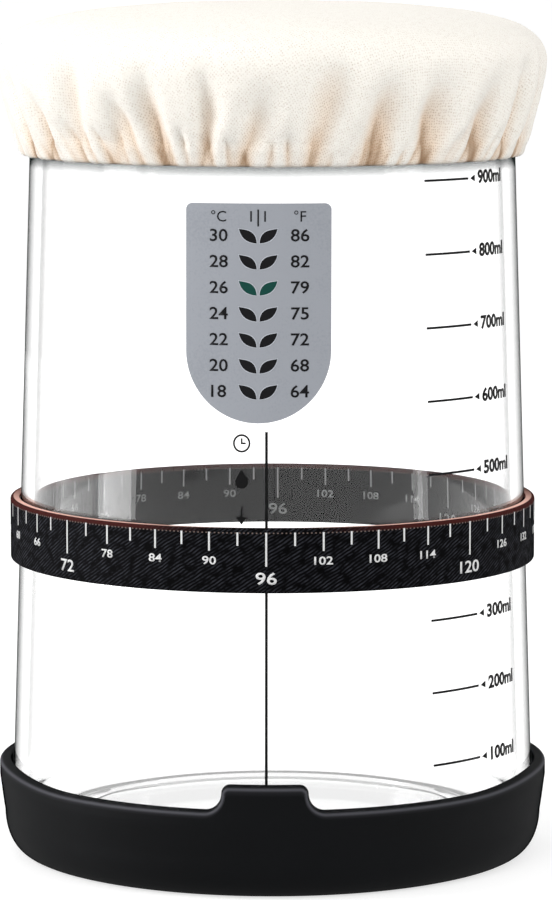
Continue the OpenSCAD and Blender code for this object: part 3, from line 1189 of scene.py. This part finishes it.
@dataclass
class DayBand:
    """The strap that turns round the jar, with its ticks and hours on both faces."""

    form: GlassForm
    low: float = 59.1
    high: float = 71.5
    gap: float = 0.3
    wall: float = 1.4
    edge: float = 0.5
    chamfer: float = 0.15
    pitch: float = 5.965
    days: int = 7
    tick_w: float = 0.36
    finish: GrainedStrap = GrainedStrap()
    ink: ScreenInk = ScreenInk("white_band_ink", "#ededed", "#c9c9c9")
    faint_ink: ScreenInk = ScreenInk("grey_band_ink", "#9a9a9a", "#707070")
    # The ticks of one day, and how far below the edge each kind starts and ends
    order: tuple[Tick, ...] = (Tick.LONG, Tick.SMALL) + (Tick.MEDIUM, Tick.SMALL) * 3
    top: float = 0.7
    reach: tuple[tuple[Tick, float], ...] = ((Tick.LONG, 7.2), (Tick.MEDIUM, 4.3), (Tick.SMALL, 3.25))

    @property
    def out_r(self) -> float:
        """Outer radius of the strap."""
        return self.form.radius(self.low) + self.gap + self.wall

    def section(self) -> list[Point]:
        """Returns the closed half section of the strap."""
        inner_low, inner_high = (self.form.radius(z) + self.gap for z in (self.low, self.high))
        x, cut = self.out_r - self.edge, self.chamfer
        return (
            [(inner_low + cut, self.low), ((inner_low + x) / 2, self.low)]
            + arc((x, self.low + self.edge), self.edge, -90, 0, 6)
            + line((self.out_r, self.low + self.edge), (self.out_r, self.high - self.edge), 8)
            + arc((x, self.high - self.edge), self.edge, 0, 90, 6)[1:]
            + [((inner_high + x) / 2, self.high), (inner_high + cut, self.high)]
            + [(inner_high, self.high - cut)]
            + line((inner_high, self.high - cut), (inner_low, self.low + cut), 8)
            + [(inner_low + cut, self.low)]
        )

    def layout(self, prints: FlatPrint, radius: float) -> None:
        """Lays the ticks and hours out flat, x along a circle of that radius and y as the height."""
        reach = dict(self.reach)
        start = -4 * len(self.order)
        for n, kind in enumerate(self.order * self.days):
            x = math.radians((start + n) * self.pitch) * radius
            top, bottom = self.high - self.top, self.high - reach[kind]
            prints.copies(kind.value, x, (top + bottom) / 2, self.tick_w, top - bottom)
            if kind is Tick.LONG:
                prints.words(f"{n * 3}", x, self.high - 9.5, 2.25, 0.014, 1.3)
            elif kind is Tick.MEDIUM:
                prints.words(f"{n * 3}", x, self.high - 6.15, 1.5, 0.018, 1.3)

    def build(self) -> None:
        """Turns the strap, prints both faces and fixes all to the band."""
        strap = lathe("band_strap", self.section(), 256)
        hand_over(strap, Body.BAND, self.finish.material(), Slot.BAND, ["day_band"])
        outer = FlatPrint("band_marks")
        self.layout(outer, self.out_r)

        def outside(place: Vector) -> Vector:
            return from_front((self.out_r + LIFT) * MM, place.x / (self.out_r * MM), place.y)

        hand_over(outer.wrap(outside), Body.BAND, self.ink.material())
        inner = FlatPrint("band_marks_inside")
        middle = self.form.radius((self.low + self.high) / 2)
        self.layout(inner, middle)

        def inside(place: Vector) -> Vector:
            # It is read from the middle of the jar, so it goes round the other way.
            r = (self.form.radius(place.y / MM) + self.gap - LIFT) * MM
            return from_front(-r, -place.x / (middle * MM), place.y)

        hand_over(inner.wrap(inside), Body.BAND, self.faint_ink.material())


@dataclass
class TemperatureStrip:
    """The stick-on temperature strip with its figures and leaf pairs."""

    form: GlassForm
    half: float = 13.7
    top: float = 132.9225
    bottom: float = 91.3225
    corner: float = 1.2
    sheet: float = 0.3
    rest: float = 0.02
    turn: float = 1.85
    columns: int = 36
    first_row: float = 126.95
    pitch: float = 4.92
    celsius_x: float = -7.5
    fahrenheit_x: float = 7.9
    header_up: float = 3.55
    leaf_down: float = 1.55
    rows: tuple[tuple[int, int], ...] = (
        (30, 86), (28, 82), (26, 79), (24, 75), (22, 72), (20, 68), (18, 64),
    )
    ideal_row: int = 2
    finish: CrystalFilm = CrystalFilm()
    ink: ScreenInk = ScreenInk("black_film_ink", "#0c0c0e", "#161618")
    pale_ink: ScreenInk = ScreenInk("pale_film_ink", "#c6cad2", "#bcc0c8")
    green_ink: ScreenInk = ScreenInk("green_film_ink", "#0f3b35", "#14483f")

    def project(self, lift: float) -> Rule:
        """Returns the rule that lays a flat place on the glass, straight from the front."""
        tilt = Matrix.Rotation(-math.radians(self.turn), 3, "Z")

        def rule(place: Vector) -> Vector:
            r = (self.form.radius(place.y / MM) + lift) * MM
            return tilt @ Vector((place.x, -math.sqrt(r * r - place.x * place.x), place.y))

        return rule

    def film(self) -> bpy.types.Object:
        """Returns the film, cut to its outline and wrapped on the glass."""
        side, high = self.half - self.corner, self.top - self.corner
        outline = (
            arc((0.0, self.bottom + self.half), self.half, 180, 360, 48)
            + arc((side, high), self.corner, 0, 90, 6)
            + arc((-side, high), self.corner, 90, 180, 6)
        )
        piece = fill_outline("strip_sheet", outline + outline[:1])
        slice_up(-self.half, 2 * self.half, self.columns)
        face_up(piece)
        move_points(piece, self.project(self.rest))
        thicken(piece, self.sheet, 1)
        shade(piece, 30)
        return piece

    def leaf(self, grow: float = 0.0) -> list[Point]:
        """Returns the outline of the right leaf about the foot of its pair, grown by a margin."""
        side = [
            (0.0, 0.0), (0.07, 0.6), (0.22, 1.15), (0.5, 1.65), (0.94, 2.08), (1.45, 2.36),
            (2.08, 2.54), (2.75, 2.66), (3.4, 2.75), (3.27, 2.3), (3.05, 1.75), (2.78, 1.3),
            (2.45, 0.9), (1.95, 0.52), (1.32, 0.25), (0.7, 0.08), (0.0, 0.0),
        ]
        middle = Vector((1.6, 1.35))
        grown = []
        for x, y in side:
            away = Vector((x, y)) - middle
            grown.append(tuple(middle + away * (1 + grow / away.length)))
        return [(x + 0.27, y) for x, y in grown]

    def build(self) -> None:
        """Cuts the film, prints it and fixes all to the jar."""
        hand_over(self.film(), Body.JAR, self.finish.material(), Slot.FILM, ["temperature_strip"])
        figures = FlatPrint("strip_figures")
        black = FlatPrint("strip_leaves", 0.02)
        green = FlatPrint("strip_green_leaves", 0.02)
        halo = FlatPrint("strip_leaf_edges", 0.01)
        for n, row in enumerate(self.rows):
            y = self.first_row - self.pitch * n
            for degrees, x in zip(row, (self.celsius_x, self.fahrenheit_x)):
                figures.words(str(degrees), x, y, 2.25, 0.012, 1.12)
            leaves = green if n == self.ideal_row else black
            for mirrored in (False, True):
                for layer, margin in ((leaves, 0.0), (halo, 0.16)):
                    outline = [(x, v + y - self.leaf_down) for x, v in self.leaf(margin)]
                    layer.shape(outline, mirrored)
        header = self.first_row + self.header_up
        figures.words("°C", self.celsius_x, header, 2.0)
        figures.words("°F", self.fahrenheit_x, header, 2.0)
        for x, height in ((-1.35, 2.0), (0.0, 3.2), (1.3, 2.0)):
            figures.bar(x, header - (height - 2.0) / 4, 0.3, height)
        # The leaves lie over their pale edges, so they float higher than the rest.
        face = self.rest + self.sheet
        for layer, lift, ink in (
            (halo, face + LIFT, self.pale_ink),
            (black, face + 3 * LIFT, self.ink),
            (green, face + 3 * LIFT, self.green_ink),
            (figures, face + LIFT, self.ink),
        ):
            hand_over(layer.wrap(self.project(lift)), Body.JAR, ink.material())


@dataclass
class ScrewLid:
    """The steel screw lid. Its seal is the CAD model's own ring."""

    r: float = 46.3516
    sheet: float = 0.6
    top: float = 165.3225
    curl: float = 0.6
    curl_z: float = 148.0225
    out_r: float = 46.7016
    round_r: float = 1.8
    panel_r: float = 38.8516
    panel_drop: float = 0.8
    ribs: int = 90
    rib_depth: float = 0.16
    steps: int = 540
    finish: TinnedSteel = TinnedSteel()
    seal_finish: SealRubber = SealRubber()

    def section(self) -> list[Point]:
        """Returns the closed half section of the lid, from the middle of its top."""
        under = self.top - self.sheet
        inner = self.r - self.sheet
        panel, below = self.top - self.panel_drop, under - self.panel_drop
        return (
            [(0, panel), (20, panel), (self.panel_r - 0.6, panel)]
            + [(self.panel_r - 0.1, self.top - 0.6)]
            + [(self.panel_r + 0.2, self.top - 0.15), (self.panel_r + 0.6, self.top)]
            + arc((self.r - self.round_r, self.top - self.round_r), self.round_r, 90, 0, 8)
            + line((self.r, self.top - self.round_r), (self.r, self.curl_z + 0.55), 14)
            + arc((self.out_r - self.curl, self.curl_z), self.curl, 55, -180, 14)
            + [(inner, self.curl_z + 0.4)]
            + line((inner, self.curl_z + 0.4), (inner, under - 1.2), 6)
            + arc((inner - 1.2, under - 1.2), 1.2, 0, 90, 5)[1:]
            + [(self.panel_r + 1.0, under), (self.panel_r + 0.6, under - 0.3)]
            + [(self.panel_r + 0.2, below), (20, below), (0, below)]
        )

    def knurl(self, place: Vector) -> Vector:
        """Presses the grip's grooves into the skirt."""
        r, z = section_place(place)
        if abs(r - self.r) > 0.02 or not self.curl_z + 1.2 < z < self.top - 2.4:
            return place
        angle = math.atan2(place.y, place.x)
        return push_out(place, -self.rib_depth * (0.5 - 0.5 * math.cos(self.ribs * angle)))

    def build(self) -> None:
        """Turns the lid, presses its grip and dresses it and the seal."""
        lid = lathe("lid_shell", self.section(), self.steps)
        move_points(lid, self.knurl)
        hand_over(lid, Body.LID, self.finish.material(), Slot.LID, ["screw_lid"])
        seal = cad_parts["lid_seal"]
        seal.data.materials.clear()
        seal.data.materials.append(self.seal_finish.material())
        LOG.info("lid_seal: CAD ring with its own finish")


@dataclass
class Crease:
    """One valley of the cover: its place at the hem, where it starts, how it leans and bows on its way
    up, how far it reaches to the left and right, and its depth."""

    angle: float
    start: float
    lean: float
    bow: float
    left: float
    right: float
    depth: float


@dataclass(frozen=True)
class FoldKind:
    """One size of the cover's folds.

    Attributes:
        count: How many there are.
        start: Least and greatest start, from 0 at the lid's edge to 1 at the hem.
        depth: Least and greatest depth, as a share.
        gather: How far the valleys lean towards the front on their way down.
        length: Way over which a valley reaches its depth.
        share: How much of the room that is left a full valley takes.
    """

    count: int
    start: Point
    depth: Point
    gather: float
    length: float
    share: float


@dataclass
class ClothCover:
    """The round cotton cover, gathered by an elastic in its hem."""

    steps: int = 640
    sheet: float = 0.36
    folds: tuple[FoldKind, ...] = (
        FoldKind(27, (0.0, 0.5), (0.5, 0.98), 0.12, 0.5, 0.92),
        FoldKind(46, (0.42, 0.76), (0.12, 0.8), 0.25, 0.3, 0.75),
        FoldKind(84, (0.68, 0.85), (0.25, 0.9), 0.4, 0.15, 0.7),
    )
    # How far a valley leans or bows on its way up, as a share of the spacing
    sway: float = 0.5
    overlap: float = 1.12
    deepest: float = 5.0
    broad: float = 16
    crumple: float = 5
    lid_r: float = 47
    wavy_z: float = 143.4
    stitches: float = 5.3
    seed: int = 23
    elastic_r: float = 47.4
    elastic_low: float = 143.65
    elastic_high: float = 148.75
    elastic_half: float = 0.2
    finish: CottonMuslin = CottonMuslin()
    braid: BraidedElastic = BraidedElastic()
    # Middle line of the cloth over the crests of its folds, from the top to the hem
    line_out: tuple[Point, ...] = (
        (0, 169.95), (12, 169.85), (24, 169.4), (34, 168.6), (41, 167.6), (46, 166.4), (50, 164.9),
        (53, 162.6), (54.3, 160.0), (54.5, 157.2), (54.2, 153.8), (53.5, 150.2), (52.5, 146.6),
        (51.5, 143.5), (50.6, 141.5), (50.1, 140.35),
    )
    # Height and radius of what the cloth's valleys lie on: its lip, the elastic and the lid
    rests: tuple[Point, ...] = ((142.9, 49.2), (144.3, 48.3), (149.5, 48.15), (152, 47.4))
    # The hem turns in behind its lip, rises inside the elastic and ends over it
    line_in: tuple[Point, ...] = (
        (49.25, 139.98), (48.92, 140.35), (48.88, 141.3), (47.95, 142.75), (47.25, 143.45),
        (46.95, 144.3), (46.93, 146.5), (46.95, 148.5), (47.35, 149.1), (47.9, 149.25),
    )

    def meridian(self) -> list[Point]:
        """Returns the smooth middle line of the cloth with points at the spacing that it needs."""
        knots = np.array(self.line_out + self.line_in, float)
        length = self.way_along(knots)
        fine = np.linspace(0, length[-1], 2400)
        path = np.stack([self.spline(length, knots[:, i], fine) for i in (0, 1)], axis=1)
        along = self.way_along(path)
        hem = along[int(np.argmin(path[:, 1]))]
        marks, at = [0.0], 0.0
        while at < along[-1]:
            at += 3.0 if at < 42 else 1.1 if at < 72 else 0.7 if at < hem + 1 else 1.4
            marks.append(min(at, along[-1]))
        r, z = (np.interp(marks, along, path[:, i]) for i in (0, 1))
        return list(zip(r.tolist(), z.tolist()))

    @staticmethod
    def way_along(path: np.ndarray) -> np.ndarray:
        """Returns the way from the first point of a path to each of its points."""
        return np.concatenate([[0], np.cumsum(np.linalg.norm(np.diff(path, axis=0), axis=1))])

    @staticmethod
    def spline(x: np.ndarray, y: np.ndarray, at: np.ndarray) -> np.ndarray:
        """Smooth curve through points, with slopes taken from their neighbours."""
        slope = np.gradient(y, x)
        i = np.clip(np.searchsorted(x, at) - 1, 0, len(x) - 2)
        h = x[i + 1] - x[i]
        t = (at - x[i]) / h
        return (
            y[i] * (2 * t**3 - 3 * t**2 + 1)
            + y[i + 1] * (-2 * t**3 + 3 * t**2)
            + slope[i] * h * (t**3 - 2 * t**2 + t)
            + slope[i + 1] * h * (t**3 - t**2)
        )

    def creases(self, kind: FoldKind, seed: int) -> list[Crease]:
        """Spreads uneven valleys round the cover.

        Args:
            kind: Their kind.
            seed: Seed of the dice.

        Returns:
            The valleys in order.
        """
        dice = random.Random(seed)
        steps = [dice.uniform(0.55, 1.45) for _ in range(kind.count)]
        scale = TURN / sum(steps)
        places = [scale * sum(steps[:i]) - math.pi for i in range(kind.count)]
        found = []
        for i, place in enumerate(places):
            left, right = scale * steps[i - 1], scale * steps[i]
            # Each crest stands nearer to one of its two valleys, so that one flank is steeper.
            share = dice.uniform(0.38, 0.62)
            lean = self.sway * TURN / kind.count * dice.uniform(-1, 1)
            crease = Crease(
                angle=place,
                lean=kind.gather * math.sin(place) + lean,
                bow=0.6 * self.sway * TURN / kind.count * dice.uniform(-1, 1),
                start=dice.uniform(*kind.start),
                left=left * share * self.overlap,
                right=right * (1 - share) * self.overlap,
                depth=dice.uniform(*kind.depth),
            )
            found.append(crease)
        return found

    @staticmethod
    def valleys(
        angle: np.ndarray, down: np.ndarray, creases: list[Crease], length: float, power: np.ndarray
    ) -> np.ndarray:
        """How deep each point lies in the valleys.

        Args:
            angle: Angle of each point from the front.
            down: Way from the lid's edge, 0, to the hem, 1.
            creases: The valleys.
            length: Way over which a valley reaches its depth.
            power: Shape at each point, over 1 for a wide valley and under 1 for a full crest.

        Returns:
            0 on a crest, up to 1 in the deepest valley.
        """
        deep = np.zeros_like(angle)
        up = 1 - down
        for crease in creases:
            path = crease.angle + crease.lean * up + crease.bow * np.sin(math.pi * up)
            off = (angle - path + math.pi) % TURN - math.pi
            reach = np.where(off > 0, crease.right, crease.left)
            side = np.clip(np.abs(off) / reach, 0, 1)
            near = side < 1
            fade = np.clip((down[near] - crease.start) / length, 0, 1)
            fade = crease.depth * fade * fade * (3 - 2 * fade)
            hollow = fade * (1 - np.sin(side[near] * math.pi / 2) ** power[near])
            deep[near] = np.maximum(deep[near], hollow)
        return deep

    def shape(self, cloth: bpy.types.Object, outline: list[Point]) -> Point:
        """Folds and gathers the turned cloth, and writes its cut and its valleys on it.

        Args:
            cloth: The cloth as it was turned.
            outline: Its middle line.

        Returns:
            Ways from the disc's middle to the hem's fold and to its edge, in metres.
        """
        places = read_points(cloth)
        r, z = np.hypot(places[:, 0], places[:, 1]), places[:, 2]
        line_m = np.array(outline) * MM
        line_r, line_z = line_m[:, 0], line_m[:, 1]
        row = np.array([np.argmin((line_r - a) ** 2 + (line_z - b) ** 2) for a, b in zip(r, z)])
        along = self.way_along(line_m)
        hem = int(np.argmin(line_z))
        edge = float(np.interp(self.lid_r * MM, line_r[: hem // 2], along[: hem // 2]))
        s = along[row]
        down = np.clip((s - edge) / (along[hem] - edge), 0, 1)
        angle = np.arctan2(places[:, 0], -places[:, 1])
        outer = row <= hem

        def rise(low: float, high: float) -> np.ndarray:
            t = np.clip((down - low) / (high - low), 0, 1)
            return t * t * (3 - 2 * t)

        power = 1.9 - 1.1 * rise(0.45, 0.95)
        left_out = np.ones_like(angle)
        for n, kind in enumerate(self.folds):
            creases = self.creases(kind, self.seed + n)
            left_out *= 1 - kind.share * self.valleys(angle, down, creases, kind.length, power)
        depth = 1 - left_out
        broad, crumple = (
            np.array([noise.noise(Vector(p) / (size * MM)) for p in places])
            for size in (self.broad, self.crumple)
        )
        # The valleys share the room between the crests and what the cloth lies on.
        least = np.interp(z / MM, *zip(*self.rests))
        room = np.clip(r / MM - least - 0.05, 0, self.deepest)
        inwards = room * depth
        ripple = np.clip(0.5 * broad + 0.22 * crumple, -0.5, 0.5)
        ripple = ripple * rise(0.0, 0.3) * (1 - rise(0.75, 0.95))
        inwards = np.where(outer & (down > 0), inwards + ripple, 0.0)
        new_r = r / MM - inwards
        scale = np.where(r > 1e-6, new_r * MM / np.maximum(r, 1e-9), 1)
        places[:, 0] *= scale
        places[:, 1] *= scale
        # The top sags and swells a little, and the hem is wavy.
        lift = (0.4 * broad + 0.06 * crumple) * (1 - rise(0.0, 0.3))
        lift = lift * np.clip(r / (self.broad * MM), 0, 1)
        wave = np.where(down > 0.9, 0.3 * (depth - 0.4) * rise(0.9, 1.0), 0)
        lift += wave * np.where(z < self.wavy_z * MM, 1, 0)
        places[:, 2] += lift * MM
        write_points(cloth, places)
        # How deep each point lies in its folds, for the cloth's painted fold shade.
        deep = depth * (0.75 + 0.25 * rise(0.6, 0.95)) - 0.06
        deep = np.clip(deep, 0, 1) ** 1.3 * np.where(outer, 1, 0.3)
        mark = cloth.data.attributes.new("valley", "FLOAT", "POINT")
        mark.data.foreach_set("value", deep.astype(np.float32))
        cut = cloth.data.uv_layers.new(name="cut")
        corners = np.zeros(len(cloth.data.loops), int)
        cloth.data.loops.foreach_get("vertex_index", corners)
        flat = np.stack([s * np.sin(angle), s * np.cos(angle)], axis=1)
        cut.data.foreach_set("uv", flat[corners].reshape(-1))
        return float(along[hem]), float(along[-1])

    def build(self) -> None:
        """Cuts, folds and dresses the cloth and its elastic."""
        outline = self.meridian()
        cloth = lathe("cover_sheet", outline, self.steps, 180)
        hem_r, cut_r = self.shape(cloth, outline)
        thicken(cloth, self.sheet, 0)
        shade(cloth, 180)
        finish = self.finish.material(hem_r - self.stitches * MM)
        hand_over(cloth, Body.COVER, finish, Slot.COTTON, ["cover_cloth"])
        half = self.elastic_half
        section = (
            arc((self.elastic_r, self.elastic_high - half), half, 0, 180, 6)
            + arc((self.elastic_r, self.elastic_low + half), half, 180, 360, 6)
        )
        tape = lathe("elastic_tape", section + section[:1], 256)
        hand_over(tape, Body.COVER, self.braid.material(), Slot.BRAID, ["cover_elastic"])


# ---------------------------------------------------------------- the studio


@dataclass
class Lamp:
    """One soft box: its place, what it looks at, its size and its strength."""

    name: str
    place: tuple[float, float, float]
    target: tuple[float, float, float]
    width: float
    height: float
    power: float
    shines: bool


@dataclass
class Studio:
    """White floor and surroundings, soft boxes and the camera of the photograph."""

    light_level: float = 0.704
    mirror_level: float = 0.8
    floor_glow: float = 0.66
    through_glow: float = 0.24
    floor_z: float = -0.0002
    # The camera's distance from the jar's axis, its height, and how it is turned, in degrees
    eye_away: float = 0.88
    eye_z: float = 0.1848
    eye_side: float = 1.3
    eye_tilt: float = 83.23
    eye_turn: float = 1.254
    lens: float = 176.4
    film: float = 36
    lamps: tuple[Lamp, ...] = (
        Lamp("strip_box_left", (-0.93, -0.2, 0.35), (0, 0, 0.1), 0.35, 1.0, 6.0, False),
        Lamp("rim_box_left", (-0.3, 0.95, 0.4), (0, 0, 0.09), 0.25, 0.9, 2.0, False),
        Lamp("key_box", (-0.45, -0.95, 0.6), (0, 0, 0.15), 0.5, 0.5, 3.0, False),
        Lamp("strip_box_right", (0.85, -0.5, 0.3), (0, 0, 0.12), 0.3, 0.8, 4.0, False),
    )
    # Narrow boxes that show only as streaks in what is glossy
    streaks: tuple[Lamp, ...] = (
        Lamp("streak_box_left", (-0.427, -0.148, 0.26), (0, 0, 0.26), 0.145, 0.5, 2.8, True),
        Lamp("streak_box_back", (-0.448, 0.052, 0.26), (0, 0, 0.26), 0.21, 0.5, 0.6, True),
        Lamp("streak_box_right", (0.42, -0.16, 0.26), (0, 0, 0.26), 0.04, 0.5, 0.5, True),
    )

    def seen_white(self, tree: bpy.types.NodeTree) -> Socket:
        """Returns 1 for a ray that comes from the camera, a reflection or clear glass, else 0."""
        ray = add_node(tree, "LightPath").outputs
        outer = reckon(tree, "MAXIMUM", ray["Is Camera Ray"], ray["Is Glossy Ray"])
        return reckon(tree, "MAXIMUM", outer, ray["Is Transmission Ray"])

    def surroundings(self) -> None:
        """Makes the world white where it is seen and a plain level where it lights."""
        world = bpy.data.worlds.new("studio_white")
        bpy.context.scene.world = world
        world.use_nodes = True
        tree = world.node_tree
        tree.nodes.clear()
        lit = remap(tree, self.seen_white(tree), 0.0, 1.0, self.light_level, self.mirror_level)
        direct = add_node(tree, "LightPath").outputs["Is Camera Ray"]
        level = reckon(tree, "MULTIPLY_ADD", direct, 1.0 - self.mirror_level, lit)
        glow = add_node(tree, "Background", {"Color": (1, 1, 1, 1), "Strength": level})
        add_node(tree, "OutputWorld", {"Surface": glow.outputs[0]})

    def floor(self) -> None:
        """Lays the pale floor, which shows white and keeps the jar's shadow."""
        clear_selection()
        bpy.ops.mesh.primitive_plane_add(size=24, location=(0, 6, self.floor_z))
        sheet = bpy.context.active_object
        sheet.name = "studio_floor"
        material, tree = new_material("matte_backdrop_paper")
        paper = add_node(tree, "BsdfDiffuse", {"Color": (0.5, 0.5, 0.5, 1)})
        # Seen through the glass, the floor in the jar's own shadow is lit from all round the foot.
        share = reckon(tree, "MULTIPLY", self.seen_white(tree), self.floor_glow)
        through = add_node(tree, "LightPath").outputs["Is Transmission Ray"]
        level = reckon(tree, "MULTIPLY_ADD", through, self.through_glow, share)
        glow = add_node(tree, "Emission", {"Strength": level})
        both = add_node(tree, "AddShader", {0: paper.outputs[0], 1: glow.outputs[0]})
        close_material(tree, both.outputs[0])
        sheet.data.materials.append(material)

    def light(self) -> None:
        """Hangs the soft boxes."""
        for lamp in self.lamps + self.streaks:
            data = bpy.data.lights.new(lamp.name, "AREA")
            data.shape = "RECTANGLE"
            data.size, data.size_y = lamp.width, lamp.height
            data.energy = lamp.power
            box = bpy.data.objects.new(lamp.name, data)
            bpy.context.scene.collection.objects.link(box)
            box.location = lamp.place
            aim = Vector(lamp.target) - Vector(lamp.place)
            box.rotation_euler = aim.to_track_quat("-Z", "Y").to_euler()
            box.visible_camera = False
            box.visible_glossy = lamp.shines
            box.visible_transmission = lamp.shines
            box.visible_diffuse = lamp not in self.streaks

    def camera(self) -> None:
        """Places the camera where the photograph was taken from."""
        data = bpy.data.cameras.new("photo_camera")
        data.sensor_fit = "VERTICAL"
        data.sensor_height = self.film
        data.lens = self.lens
        eye = bpy.data.objects.new("photo_camera", data)
        bpy.context.scene.collection.objects.link(eye)
        eye.location = from_front(self.eye_away, math.radians(self.eye_side), self.eye_z)
        eye.rotation_euler = (math.radians(self.eye_tilt), 0, math.radians(self.eye_turn))
        bpy.context.scene.camera = eye

    def build(self) -> None:
        """Sets up the whole studio."""
        bpy.context.scene.view_settings.view_transform = "Standard"
        self.surroundings()
        self.floor()
        self.light()
        self.camera()


def main() -> None:
    """Builds the jar piece by piece, then the studio."""
    logging.basicConfig(level=logging.INFO, format="%(message)s")
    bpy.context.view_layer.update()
    form = GlassForm()
    Boot().build()
    GlassJar(form).build()
    GlassPrint(form).build()
    DayBand(form).build()
    TemperatureStrip(form).build()
    ScrewLid().build()
    ClothCover().build()
    Studio().build()


if __name__ == "__main__":
    main()
